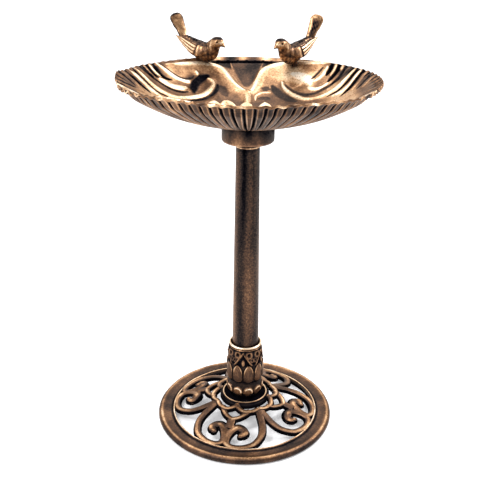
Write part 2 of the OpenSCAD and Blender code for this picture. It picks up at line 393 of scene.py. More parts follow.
def steel(name):
    """Zinc-plated steel with a fine turned grain."""
    n = Nodes(name)
    n.shader.inputs["Metallic"].default_value = 1.0
    streak = n.noise(900, 3, 0.6, stretch=(1, 1, 6))
    stops = [(0.3, srgb("77797C")), (0.7, srgb("A9ABAE"))]
    n.join(n.ramp(streak, stops), n.shader.inputs["Base Color"])
    n.join(n.span(streak, 0.3, 0.7, 0.3, 0.45), n.shader.inputs["Roughness"])
    return n.material


# ---- camera, light and floor

def make_camera():
    """In front and above, at the photograph's viewing angle."""
    data = bpy.data.cameras.new("camera")
    data.sensor_width = 36
    data.lens = 55.75
    camera = bpy.data.objects.new("camera", data)
    show(camera)
    down, roll = math.radians(22.85), math.radians(0.85)
    place = Matrix.Translation((0.0065, -1.4043, 0.9883))
    tilt = Matrix.Rotation(math.pi / 2 - down, 4, "X") @ Matrix.Rotation(roll, 4, "Z")
    camera.matrix_world = place @ tilt
    bpy.context.scene.camera = camera


# Soft panels round the object: direction, outer and inner half angle in degrees, strength
PANELS = [((0.0, 0.15, 1.0), 48, 30, 2.6),
          ((-1.0, -0.35, 0.45), 34, 22, 1.5),
          ((1.0, -0.25, 0.40), 32, 20, 1.25),
          ((0.0, 1.0, 0.10), 50, 30, 0.9)]
AMBIENT = 0.22


def make_world():
    """A pale studio: bright panels above, beside and behind, and darker gaps between them."""
    world = bpy.data.worlds.new("studio")
    bpy.context.scene.world = world
    world.use_nodes = True
    tree = world.node_tree
    new, link = tree.nodes.new, tree.links.new
    way = new("ShaderNodeTexCoord").outputs["Generated"]
    total = None
    for direction, outer, inner, strength in PANELS:
        aim = np.array(direction) / np.linalg.norm(direction)
        dot = new("ShaderNodeVectorMath")
        dot.operation = "DOT_PRODUCT"
        dot.inputs[1].default_value = aim
        link(way, dot.inputs[0])
        soft = new("ShaderNodeMapRange")
        soft.interpolation_type = "SMOOTHSTEP"
        soft.inputs[1].default_value = math.cos(math.radians(outer))
        soft.inputs[2].default_value = math.cos(math.radians(inner))
        soft.inputs[4].default_value = strength
        link(dot.outputs["Value"], soft.inputs[0])
        add = new("ShaderNodeMath")
        add.operation = "ADD"
        add.inputs[1].default_value = AMBIENT
        link(soft.outputs[0], add.inputs[0])
        if total is not None:
            link(total, add.inputs[1])
        total = add.outputs[0]
    background = tree.nodes["Background"]
    background.inputs["Color"].default_value = (1.0, 0.99, 0.98, 1)
    seen = new("ShaderNodeBackground")
    seen.inputs["Color"].default_value = (1, 1, 1, 1)
    pick = new("ShaderNodeMixShader")
    link(new("ShaderNodeLightPath").outputs["Is Camera Ray"], pick.inputs[0])
    link(total, background.inputs["Strength"])
    link(background.outputs[0], pick.inputs[1])
    link(seen.outputs[0], pick.inputs[2])
    link(pick.outputs[0], tree.nodes["World Output"].inputs["Surface"])


def soft_light(name, place, aim, size, power):
    data = bpy.data.lights.new(name, "AREA")
    data.size = size
    data.energy = power
    lamp = bpy.data.objects.new(name, data)
    show(lamp)
    way = Vector(aim) - Vector(place)
    turn = way.to_track_quat("-Z", "Y").to_matrix().to_4x4()
    lamp.matrix_world = Matrix.Translation(place) @ turn
    lamp.visible_camera = False


def make_lights():
    soft_light("key_light", (-1.2, -1.3, 2.2), (0, 0, 0.5), 0.5, 34)
    soft_light("rim_light", (1.4, 0.5, 1.7), (0, 0, 0.6), 0.5, 22)


def make_floor():
    n = Nodes("floor")
    cloud = n.noise(0.6, 2)
    tone = n.ramp(cloud, [(0.3, srgb("E0DFE1")), (0.7, srgb("E6E6E7"))])
    n.join(tone, n.shader.inputs["Base Color"])
    n.join(tone, n.shader.inputs["Emission Color"])
    n.shader.inputs["Emission Strength"].default_value = 0.42
    n.shader.inputs["Roughness"].default_value = 0.9
    reach = 40000
    floor_z = CAD_BOX[0].z / MM - 0.1
    rows = [(0, floor_z), (reach, floor_z)]
    floor = weld(turned_piece("floor", rows, 64, None, closed=False))
    floor.data.materials.append(n.material)
    if floor.data.polygons[0].normal.z < 0:
        floor.data.flip_normals()


# ---- base

RING_HIGH = span("base_ring")[1]
BASE_R = RING_HIGH[0]
HUB_LOW, HUB_HIGH = span("hub_dish")
HUB_R = HUB_HIGH[0]
DISH_Z = span("lower_sleeve")[0][2]
PANEL_TOP = span("front_scroll")[1][2]
OPENING_R = BASE_R - 35
RING_TOP = RING_HIGH[2]


def arc(centre, radius, start, end, count):
    """Points on a circle in a profile, angles in degrees."""
    a = np.radians(np.linspace(start, end, count))
    return np.stack([centre[0] + radius * np.cos(a), centre[1] + radius * np.sin(a)], -1)


def make_ring(material):
    """Rounded outer lip, a broad hollow band, and a fine bead along the opening."""
    lip = 7.4
    bead = 2.3
    bead_z = RING_TOP - bead
    rows = np.vstack([
        arc((BASE_R - lip, lip), lip, -90, 115, 26),
        [(BASE_R - 14.5, 12.6), (BASE_R - 19, 12.0), (BASE_R - 25, 12.2), (BASE_R - 29.5, 13)],
        arc((OPENING_R + bead + 0.1, bead_z), bead, 60, 200, 10),
        [(OPENING_R + 0.1, 11.5), (OPENING_R + 0.1, 6), (OPENING_R + 0.5, 0.4),
         (OPENING_R + 3.4, 0.2), (OPENING_R + 4, 1), (OPENING_R + 4.2, 9),
         (BASE_R - 14, 9.6), (BASE_R - 13.7, 1), (BASE_R - 13.4, 0.1)]])

    def uneven(r, z, angle):
        x, y = r * np.cos(angle), r * np.sin(angle)
        top = step(8, 12, z)
        return r, z + 0.25 * top * waves(5, 26, x, y) - 0.25 * top

    ring = turned_piece("base_ring_cast", rows, 360, 50, uneven)
    weld(ring)
    x, y, z = places(ring).T
    r = np.hypot(x, y)
    lip_rub = 0.68 * bump(r - (BASE_R - 7), 5.5) * step(6, 13, z)
    bead_rub = 0.88 * bump(r - (OPENING_R + bead), 2.0) * step(11, RING_TOP - 1.5, z)
    band = 0.37 * step(4, 12, z)
    groove = 0.40 * bump(r - (OPENING_R + 6.2), 1.9) * step(10, 12, z)
    wear_and_shade = 0.10 * waves(8, 60, x, y) + 0.06 * waves(9, 22, x, y)
    side = 0.30 * step(BASE_R - 6, BASE_R, r) * step(0, 4, z)
    patina_and_light = np.maximum.reduce([lip_rub, bead_rub, band, side]) - groove
    paint(ring, patina_and_light + wear_and_shade * (patina_and_light > 0.2) + 0.03)
    finish_piece(ring, material, "base", "base_bronze", "base_ring")


def cone_top(r):
    """Height of the scrollwork's top between the hub and the ring."""
    share = (r - HUB_R) / (OPENING_R - HUB_R)
    return PANEL_TOP + (RING_TOP - 1.2 - PANEL_TOP) * share


def polar(angle, r):
    a = math.radians(angle)
    return (r * math.cos(a), r * math.sin(a))


def strap(line, half_wide, deep, rise=0.0):
    """A closed bar along a line in plan, with a rounded top that follows the cone.

    half_wide is a list of shares of its length and the half width at each.
    """
    line = np.array(line, float)
    way = np.gradient(line, axis=0)
    way /= np.linalg.norm(way, axis=1)[:, None]
    across = np.stack([-way[:, 1], way[:, 0]], -1)
    half = np.interp(np.linspace(0, 1, len(line)), *half_wide)
    dome = np.radians(np.linspace(0, 180, 13))
    crown = []
    for a in dome:
        flat = abs(math.cos(a)) ** 0.7 * 0.84
        crown.append((math.copysign(flat, math.cos(a)),
                      0.28 * deep * (abs(math.sin(a)) ** 0.6 - 1)))
    ledge = [(1.0, -deep), (1.0, -0.66 * deep), (0.95, -0.60 * deep), (0.80, -0.60 * deep)]
    section = ledge + crown + [(-u, v) for u, v in reversed(ledge)]
    rows = []
    for p, side, w in zip(line, across, half):
        for u, v in section:
            at = p + side * u * w
            rows.append((*at, cone_top(np.hypot(*p)) + v + rise))
    return np.array(rows), capped_faces(len(line), len(section))


def boss(centre, radius, deep, rise):
    """A rounded knob on the cone."""
    z = cone_top(np.hypot(*centre))
    profile = [(0.01, z - deep), (radius, z - deep), (radius, z - 0.4 * deep)]
    profile += [(radius * math.cos(a), z - 0.4 * deep + (0.4 * deep + rise) * math.sin(a))
                for a in np.radians([20, 40, 60, 75, 89.9])]
    return turned(profile, 20) + np.array([*centre, 0]), capped_faces(len(profile), 20)


def joined(parts):
    """One list of points and faces from several closed shells."""
    points, faces, start = [], [], 0
    for p, f in parts:
        points.append(p)
        faces += [[i + start for i in face] for face in f]
        start += len(p)
    return np.vstack(points), faces


def flipped(line):
    return [(x, -y) for x, y in line]


FRONT_PANEL = -107  # degrees from +X to the middle of the front panel
# Half of a panel, from its middle line: angle and radius along each strap
HEART = [(45, 62), (41, 82), (38.5, 102), (34, 121), (26, 137.5), (17, 144.5), (8.5, 145.5),
         (3, 141), (1.4, 132), (2, 120), (5, 108.5), (10, 102), (14.8, 105.5), (16.6, 114),
         (14, 121)]
SCALLOP = [(44, 63), (32, 66.5), (17, 66), (5, 58.5), (-1, 50)]
VEE = [(27, 64), (17.5, 73.5), (8, 81), (-1, 86)]
# Shares of a strap's length, and its half width at each
HEART_WIDE = ([0, 0.6, 0.78, 0.92, 1], [8.8, 8.6, 11.6, 13.0, 9.0])
PLAIN_WIDE = ([0, 1], [6.9, 6.9])


def panel_shells():
    """The straps of one quarter, each a closed shell."""
    deep = 8.6
    parts = []
    for mirror in (list, flipped):
        for outline, wide in ((HEART, HEART_WIDE), (SCALLOP, PLAIN_WIDE), (VEE, PLAIN_WIDE)):
            line = smooth_line(mirror([polar(*p) for p in outline]))
            parts.append(strap(line, wide, deep))
        parts.append(boss(mirror([polar(13.6, 121)])[0], 7.0, deep, 0.8))
    parts.append(strap([(88, 0), (94, 0), (102, 0), (108, 0)], ([0, 1], [10, 10]), deep, 0.6))
    return joined(parts)


def make_scrolls(material):
    """Four panels of openwork, each a quarter of the cone."""
    cast = new_piece("scroll_cast", *panel_shells())
    fuse(cast, 0.8)
    relax(cast, 2)
    points, up = places(cast), normals(cast)
    r = np.hypot(points[:, 0], points[:, 1])
    depth = cone_top(r) - points[:, 2]
    # Partly the rubbed finish and partly painted light: faces turned upward are paler, side walls
    # are dark as painted shade, ledges pale, and the flattest crowns get a painted highlight.
    patina_and_light = 0.04 + 0.42 * step(0.35, 0.93, up[:, 2]) * step(3.2, 0.9, depth)
    patina_and_light += 0.34 * step(0.6, 0.9, up[:, 2]) * bump(depth - 5.2, 0.8)
    patina_and_light += 0.26 * step(0.5, -0.1, depth) * step(0.93, 0.99, up[:, 2])
    patina_and_light += 0.12 * waves(3, 16, *points.T) * step(4, 2, depth)
    paint(cast, patina_and_light)
    cast.data.transform(Matrix.Rotation(math.radians(FRONT_PANEL), 4, "Z"))
    for quarter, name in enumerate(("front_scroll", "right_scroll", "back_scroll", "left_scroll")):
        piece = cast
        if quarter:
            piece = cast.copy()
            piece.data = cast.data.copy()
            piece.data.transform(Matrix.Rotation(math.radians(90 * quarter), 4, "Z"))
            show(piece)
        piece.name = name + "_cast"
        finish_piece(piece, material, "base", "scroll_bronze", name)


def make_hub(material):
    """The dish that the sleeve stands in, with a bright bead round it."""
    bead_r, bead_line = 2.3, HUB_R - 6.6
    top = HUB_HIGH[2] - 0.1
    low = HUB_LOW[2]
    rows = np.vstack([
        [(0.01, low), (HUB_R - 8, low), (HUB_R - 5, HUB_HIGH[2] - 13), (HUB_R, HUB_HIGH[2] - 13),
         (HUB_R, HUB_HIGH[2] - 5), (HUB_R - 1.2, HUB_HIGH[2] - 3.4), (bead_line + 3, top - 3)],
        arc((bead_line, top - bead_r), bead_r, -10, 190, 14),
        [(bead_line - 2.9, DISH_Z - 0.2), (bead_line - 6, DISH_Z - 0.1), (0.01, DISH_Z - 0.1)]])
    hub = turned_piece("hub_dish_cast", rows, 240, 60, closed=False)
    weld(hub, 2e-5)
    x, y, z = places(hub).T
    r = np.hypot(x, y)
    bead = 0.84 * bump(r - bead_line, 1.7) * step(DISH_Z - 1, top - 1, z)
    shoulder = 0.12 * bump(r - (HUB_R - 1), 1.6) * step(DISH_Z - 6, DISH_Z - 2, z)
    paint(hub, np.maximum(bead, shoulder) + 0.07 + 0.05 * waves(4, 20, x, y))
    finish_piece(hub, material, "base", "dark_bronze", "hub_dish")


# ---- sleeve

SLEEVE_LOW, SLEEVE_HIGH = span("lower_sleeve")
SLEEVE_R = SLEEVE_HIGH[0]
SOCKET_R = 28.75


def sleeve_radius(z):
    """Outside of the sleeve before its relief."""
    h = SLEEVE_HIGH[2] - SLEEVE_LOW[2]
    share = [0, 0.06, 0.10, 0.14, 0.2, 0.27, 0.30, 0.36, 0.46, 0.58, 0.68, 0.79, 0.89, 0.93, 1]
    steps = [-7.8, -7.8, -6.0, -3.6, -3.7, -3.9, -4.6, -2.6, -1.6, -1.6, -2.4, -4.0, -5.6, -6.0, -7]
    return SLEEVE_R + np.interp((z - SLEEVE_LOW[2]) / h, share, steps)


def around(angle, count, middle):
    """Degrees from the nearest of count places round the sleeve."""
    gap = 360 / count
    return (np.degrees(angle) - middle + gap / 2) % gap - gap / 2


def sleeve_relief(z, angle):
    """Height of the cast ornament over the sleeve, and how far it is rubbed."""
    height = np.zeros(z.shape)
    patina_and_light = np.full(z.shape, 0.24)
    h = z - SLEEVE_LOW[2]

    def lay(share, rise, tone):
        nonlocal height, patina_and_light
        height = height + share * rise
        patina_and_light = mix(patina_and_light, tone, unit(share))

    front = -96  # degrees from +X to the middle of the ornament's front
    # lotus petals, ten round the belly, each with a raised edge
    a = around(angle, 10, front + 18) * math.pi / 180 * SLEEVE_R
    t = (h - 44) / 40
    half = 11.9 * np.sqrt(unit(1 - unit((t - 0.30) / 0.70) ** 2.4))
    half = half * unit(t / 0.16) ** 0.35
    inside = step(0.0, 1.6, half - np.abs(a)) * (t > 0) * (t < 1)
    lay(inside * (0.75 + 0.25 * unit(1 - (a / 12) ** 2)), 2.0, 0.47)
    lay((t > -0.05) * (t < 1.03) * bump(half - np.abs(a), 0.9), -0.5, 0.02)
    # Painted highlight: the upper part of each petal's raised edge is painted pale.
    upper = step(0.35, 0.75, t)
    lay(inside * upper * bump(half - 2.0 - np.abs(a), 1.1), 0.7, 0.80)
    # crossing straps, five pairs, from a point under the bead down to the petals
    b = around(angle, 5, front) * math.pi / 180 * SLEEVE_R
    over = step(80, 86, h) * step(118, 113, h)
    slope = (112 - h) * 0.70
    for reach in (slope, -slope):
        lay(over * bump(b - reach, 4.4), -0.3, 0.03)
        lay(over * bump(b - reach, 2.7), 2.1, 0.54)
        lay(over * bump(b - reach + 1.4, 0.8), 0.3, 0.70)
    field = step(80, 86, h) * step(117, 113, h)
    patina_and_light -= 0.16 * field * (1 - unit(bump(np.abs(b) - slope, 2.6)))
    # volutes beside each crossing, and a bud under it
    curl = 107
    for side in (-1, 1):
        d = np.hypot(b - side * 13.5, h - curl)
        lay(bump(d - 6.0, 3.0), 2.0, 0.56)
        lay(bump(d, 2.8), -2.0, 0.0)
        d = np.hypot(b - side * 20.5, (h - curl + 12) * 0.8)
        lay(bump(d - 3.2, 1.3), 1.1, 0.5)
    bud = np.hypot(b / 3.4, (h - 90) / 7.0)
    lay(step(1.15, 0.8, bud), 1.6, 0.55)
    # groove under the petals, plain waist, and a row of leaf buds
    lay(bump(h - 42.5, 1.8), -1.5, 0.04)
    c = around(angle, 10, front + 18) * math.pi / 180 * (SLEEVE_R - 4)
    egg = np.hypot(c / 10.6, (h - 20) / 12.0)
    inside = step(1.08, 0.86, egg)
    lay(inside * unit(1.25 - 0.5 * egg), 3.2, 0.50)
    # Painted highlight along one upper side of each bud.
    lay(inside * bump(egg - 0.68, 0.16) * step(-2, 3, h - 20 + 0.5 * c), 0.6, 0.92)
    lay(step(10, 4, h), -0.6, 0.03)
    # second thin bead under the top one
    lay(bump(h - 117.3, 0.9), 1.3, 0.66)
    lay(bump(h - 114.6, 0.9), -0.6, 0.08)
    return height, patina_and_light


def make_sleeve(material):
    """The socket sleeve with its cast leaves, straps and beads."""
    low, high = SLEEVE_LOW[2], SLEEVE_HIGH[2]
    bead = 2.5
    outside = [(sleeve_radius(z), z) for z in np.linspace(low, high - 2 * bead - 0.4, 180)]
    crown = arc((SOCKET_R + bead + 0.1, high - bead), bead, -50, 150, 14)
    bore = [(SOCKET_R, high - 5), (SOCKET_R, low + 15.5), (0.01, low + 15.5), (0.01, low)]
    rows = outside + list(map(tuple, crown)) + bore
    first = len(outside)
    tones = {}

    def relief(r, z, angle):
        height, patina_and_light = sleeve_relief(z[:first], angle[:first])
        tones["patina_and_light"] = patina_and_light
        r = r.copy()
        limit = SLEEVE_R - 0.05
        r[:first] = np.minimum(r[:first] + height, limit)
        return r, z

    columns = 480
    sleeve = turned_piece("lower_sleeve_cast", rows, columns, 60, relief)
    patina_and_light = np.full((len(rows), columns), 0.12)
    patina_and_light[:first] = tones["patina_and_light"]
    over_bead = [0.35, 0.5, 0.65, 0.8, 0.9, 0.95, 1, 1, 0.95, 0.9, 0.8, 0.5, 0.3, 0.2]
    patina_and_light[first:first + len(crown)] = np.array(over_bead)[:, None]
    paint(sleeve, patina_and_light.ravel() + 0.05 * waves(2, 12, *places(sleeve).T))
    weld(sleeve, 2e-5)
    finish_piece(sleeve, material, "base", "base_bronze", "lower_sleeve")


# ---- pole and collar

def make_pole(material):
    """A plain tapered tube, a little uneven, with painted reflections and painted highlights in
    bands down it; a gold painted highlight faces the front, strongest towards its foot.
    """
    low, high = span("pole")
    foot_r, top_r = high[0] - 0.02, span("pole_top_plug")[1][0] - 0.02
    wall = 3
    levels = np.r_[np.linspace(low[2], high[2] - 16, 90), np.linspace(high[2] - 15, high[2], 31)]
    rows = [(mix(foot_r, top_r, (z - low[2]) / (high[2] - low[2])), z) for z in levels]
    rows += [(rows[-1][0] - wall, high[2]), (foot_r - wall, low[2])]
    pole = turned_piece("pole_tube", rows, 160, 50)
    weld(pole)
    x, y, z = places(pole).T
    share = (z - low[2]) / (high[2] - low[2])
    angle = np.degrees(np.arctan2(y, x))
    patina_and_light = 0.24 + 0.07 * waves(6, 12, x, y, z * 0.08) + 0.05 * waves(7, 30, x, y, z * 0.4)
    # Painted highlight: a gold band facing the front, strongest towards the foot.
    patina_and_light += mix(0.24, 0.06, step(0.1, 1.0, share)) * bump(angle + 84, 30)
    # Painted reflection: a dark band just left of the front, strongest towards the top.
    patina_and_light -= mix(0.02, 0.30, step(0.35, 1.0, share)) * bump(angle + 106, 14)
    # Painted highlights along both sides of the pole as seen from the front.
    patina_and_light += 0.06 * bump(angle + 18, 22) + 0.18 * bump(angle + 152, 20)
    # Painted reflection: a narrow dark line on the upper part.
    patina_and_light -= 0.10 * step(0.6, 0.95, share) * bump(angle + 60, 7)
    # Paler round the back, and painted shade in a dark band just under the collar.
    patina_and_light += 0.10 * bump(angle - 110, 50) - 0.12 * step(0.965, 0.99, share)
    # Painted highlight: a bright ring just below the collar's lower edge.
    patina_and_light += 0.62 * bump(z - (high[2] - 6.2), 1.3)
    paint(pole, patina_and_light)
    finish_piece(pole, material, "post", "pole_bronze", "pole")


def make_collar(material):
    """A round cap with a softened lower edge, a pocket for the seat ring, and a bore."""
    low, high = span("collar")
    radius = high[0] - 0.02
    spigot = span("pole_top_plug")[1][0]
    bore, round_r = 16.1, 5.5
    rows = np.vstack([
        [(bore, low[2] + 0.1), (spigot + 0.5, low[2])],
        arc((radius - round_r, low[2] + round_r), round_r, -90, 0, 10),
        [(radius, low[2] + 9), (radius, high[2] - 3)],
        arc((radius - 1.6, high[2] - 1.6), 1.6, 0, 90, 6),
        [(42.2, high[2]), (42.0, high[2] - 0.6), (42.0, low[2] + 6.3), (24.0, low[2] + 6.3),
         (24.0, low[2] + 26.5), (bore, low[2] + 26.5)]])
    collar = turned_piece("collar_cast", rows, 240, 40)
    weld(collar)
    x, y, z = places(collar).T
    r = np.hypot(x, y)
    edge = 0.10 * bump(z - (low[2] + 3), 2) - 0.22 * bump(z - (high[2] - 1), 4)
    edge -= 0.16 * bump(np.degrees(np.arctan2(y, x)) + 24, 22)
    wear_and_shade = 0.13 * waves(11, 20, x, y, z * 0.3) + 0.08 * waves(12, 9, x, y, z * 0.5)
    outside = step(radius - 9, radius - 4, r)
    paint(collar, mix(0.14, 0.40 + edge + wear_and_shade, outside))
    finish_piece(collar, material, "swivel", "base_bronze", "collar")


# ---- basin

BASIN_LOW, BASIN_HIGH = span("basin")
RIM_R = BASIN_HIGH[0]
RIM_Z = BASIN_HIGH[2]
BASIN_Z = BASIN_LOW[2]
FLAT_R = HUB_R
RIBS = 80

# Ridges and grooves cast into the bowl, seen from above: half width, height, how far
# rubbed (with painted highlights on lit crests and painted shade in grooves), and points from
# the rim inwards. The pattern is mirrored towards the front.
STROKES = [
    # left: broad neck of the big leaf, then its outer edge, painted bright as a highlight
    (11, 4.5, 0.64, [(-158, 158), (-140, 171), (-118, 184), (-95, 193), (-75, 194), (-60, 184),
      (-47, 167), (-36, 150), (-25, 136), (-12, 124), (-5, 104), (-4, 80)]),
    (11, 1.5, 0.76, [(-60, 192), (-47, 174), (-36, 158), (-24, 142), (-10, 126)]),
    (11, 1.5, 0.76, [(36, 200), (25, 186), (19, 168), (11, 148), (2, 128)]),
    (5, 2.5, 0.55, [(-62, 112), (-70, 90), (-82, 74)]),
    (9, -1.5, 0.36, [(-58, 148), (-50, 130), (-45, 118)]),
    (6.0, 4.0, 0.92, [(-165, 161), (-150, 169), (-130, 181), (-110, 192), (-90, 199), (-70, 203),
      (-57, 200), (-48, 190), (-38, 172), (-28, 156), (-17, 143), (-5, 132)]),
    (8, 0.5, 0.66, [(-160, 158), (-140, 158), (-122, 162)]),
    (5.5, 3.5, 0.97, [(-186, 152), (-172, 145), (-156, 138), (-140, 132), (-124, 133), (-112, 140),
      (-104, 153), (-101, 165), (-107, 173)]),
    (3, -1.8, 0.30, [(-172, 153), (-155, 145), (-138, 141), (-124, 145), (-115, 154),
      (-111, 163)]),
    (8.5, 3, 0.97, [(-174, 104), (-160, 100), (-147, 98), (-134, 102), (-124, 111)]),
    (9, -1.8, 0.50, [(-212, 103), (-192, 90), (-172, 80), (-152, 76), (-134, 79), (-118, 90),
      (-107, 103)]),
    (8, -2.8, 0.07, [(-84, 174), (-94, 164), (-102, 150), (-107, 136), (-109, 122), (-108, 108)]),
    (5, -2, 0.12, [(-63, 152), (-66, 132), (-74, 113), (-84, 95), (-97, 80), (-110, 66)]),
    (5.5, 3.8, 0.88, [(-219, 92), (-200, 79), (-183, 65), (-168, 56), (-152, 51), (-136, 55),
      (-120, 69), (-105, 84), (-92, 98), (-82, 115), (-75, 132), (-71, 148), (-74, 159),
      (-82, 164)]),
    (2.5, -1.8, 0.12, [(-216, 112), (-198, 103), (-180, 95), (-162, 88), (-146, 86), (-130, 91),
      (-118, 101)]),
    (4.5, -2.6, 0.02, [(-191, 143), (-180, 128), (-165, 118), (-153, 122)]),
    (3, 2.2, 0.90, [(-197, 134), (-186, 121), (-172, 112)]),
    (3.6, -2.4, 0.03, [(-201, 129), (-189, 114), (-176, 104)]),
    (2.6, 1.8, 0.72, [(-206, 121), (-194, 107), (-182, 100)]),
    (2.2, -1.8, 0.06, [(-209, 116), (-194, 104), (-181, 96)]),
    (6, 2.8, 0.93, [(-227, 72), (-211, 63), (-193, 49), (-176, 34), (-160, 24)]),
    (3.2, -2.2, 0.03, [(-222, 83), (-204, 70), (-186, 54), (-171, 45), (-153, 43)]),
    (5.5, -2.6, 0.03, [(-231, 54), (-214, 45), (-197, 31), (-182, 18)]),
    (4, 2.0, 0.62, [(-236, 40), (-220, 30), (-203, 16), (-190, 6)]),
    (3, -1.5, 0.15, [(-239, 24), (-222, 15), (-206, 4)]),
    # right: a broad gold leaf with a painted highlight down its middle, then the edges and flutes
    # round it
    (23, 4.0, 0.76, [(38, 190), (60, 190), (85, 180), (105, 165), (118, 145), (120, 130)]),
    (9, 1.2, 0.97, [(88, 176), (106, 160), (118, 143), (120, 128)]),
    (7, -0.8, 0.66, [(112, 186), (124, 179), (134, 171)]),
    (6.0, 4.0, 0.90, [(-1, 129), (6, 140), (13, 160), (18, 182), (25, 198), (33, 206), (48, 211),
      (70, 212), (90, 209), (110, 203), (130, 195), (148, 186), (164, 178)]),
    (8, -1.5, 0.26, [(47, 154), (54, 135), (64, 116), (76, 99), (90, 82)]),
    (8, -0.5, 0.38, [(28, 148), (40, 144)]),
    (6, -1.0, 0.30, [(20, 112), (30, 113), (40, 108)]),
    (4.5, 2.0, 0.96, [(129, 134), (143, 144), (151, 155), (157, 168)]),
    (2.6, -1.8, 0.22, [(124, 143), (136, 157), (148, 172)]),
    (5, 2.2, 0.96, [(116, 120), (128, 109), (142, 107), (153, 114)]),
    (4.5, -2.2, 0.30, [(72, 152), (79, 137), (89, 121), (99, 109), (110, 100), (126, 95),
      (142, 98), (157, 104), (172, 112), (188, 120), (203, 130)]),
    (5.5, 3.8, 0.88, [(66, 159), (69, 144), (76, 127), (85, 110), (95, 95), (105, 81), (118, 72),
      (133, 68), (148, 70), (162, 76), (174, 85), (184, 95), (196, 106), (209, 120)]),
    (5, -2.6, 0.02, [(167, 171), (162, 157), (154, 144)]),
    (5, -2.4, 0.04, [(181, 162), (176, 144), (165, 131), (155, 120)]),
    (2.8, 1.8, 0.85, [(175, 167), (169, 151), (161, 137)]),
    (3.5, -1.8, 0.10, [(193, 147), (185, 131), (174, 117), (160, 108)]),
    (2.5, 1.5, 0.80, [(187, 154), (181, 138)]),
    (5, 2.8, 0.93, [(158, 52), (174, 53), (185, 61), (196, 74), (208, 91), (218, 107)]),
    (3.2, -2.2, 0.03, [(150, 61), (168, 66), (182, 78), (196, 94), (211, 114)]),
    (4, -2.4, 0.04, [(172, 36), (189, 52), (204, 73), (215, 88), (223, 100)]),
    (3.5, 2.0, 0.68, [(190, 38), (205, 55), (217, 72), (228, 86)]),
    (3, -1.6, 0.15, [(200, 30), (216, 46), (229, 62)]),
    (3, 1.6, 0.60, [(207, 20), (222, 34), (233, 48)]),
    # middle: a small curl, the ridge under the V, and the edges of the plain back panel
    (2.6, 1.8, 0.84, [(13, 105), (14, 120), (21, 129), (31, 132), (43, 130)]),
    (6, 2.6, 0.80, [(-2, 140), (-2, 124), (-2, 106), (-3, 84)]),
    (2, 1.0, 0.60, [(-39, 221), (-32, 195), (-22, 172), (-13, 157)]),
    (2, 1.0, 0.60, [(27, 221), (19, 196), (11, 172), (5, 160)]),
    (3.4, -2.4, 0.02, [(-88, 210), (-62, 219), (-30, 226), (0, 228), (30, 227), (62, 220),
      (88, 211)]),
]


def underside(r):
    """Mean underside of the basin: 0 at its flat middle, 1 at the rim."""
    t = unit((r - FLAT_R) / (RIM_R - FLAT_R))
    return 0.62 * t + 0.38 * t**3


def rim_wave(angle):
    """How far the lip rises and falls round the rim."""
    wave = 3.0 * bump(off(angle, 12), 20) + 6.0 * bump(off(angle, 177), 8)
    wave = wave - 2.0 * bump(off(angle, 90), 40) + 3.8 * bump(off(angle, -122), 24)
    wave = wave + 2.6 * bump(off(angle, -60), 18) + 2.2 * bump(off(angle, -90), 25)
    return wave + 0.7 * round_waves(21, 1.4, angle, 3)


def rim_radius(angle):
    """Outline of the lip: a little flatter at the front, and pinched by the left tip."""
    flat = 5.5 * unit(-np.sin(angle)) ** 2
    pinch = 4.5 * bump(off(angle, -167), 8) + 2.0 * bump(off(angle, -20), 8)
    return RIM_R - 1.7 - flat - pinch


def rib_gap(angle):
    """How far from the middle of a rib: 0 on its crest, 1 in the groove between two."""
    drift = 0.16 * np.sin(5 * angle + 0.7) + 0.10 * np.sin(11 * angle + 2.0)
    share = (angle * RIBS / (2 * math.pi) + 0.5 + drift) % 1.0
    return np.abs(share - 0.5) * 2


def rib_wave(angle, share=1.0):
    """1 along a rib and 0 in a groove. Ribs are broad by the lip and narrow by the hub."""
    half = 0.42 + 0.26 * step(0.3, 1.0, share)
    return step(half + 0.24, half - 0.20, rib_gap(angle))


def ruffle_wave(angle):
    """The lip's rise and fall, one wave to a rib."""
    return np.cos(angle * RIBS + 1.2 * np.sin(3 * angle + 1.0))


def rib_edge(angle, share=1.0):
    return bump(rib_gap(angle) - 0.34 - 0.22 * step(0.3, 1.0, share), 0.13)


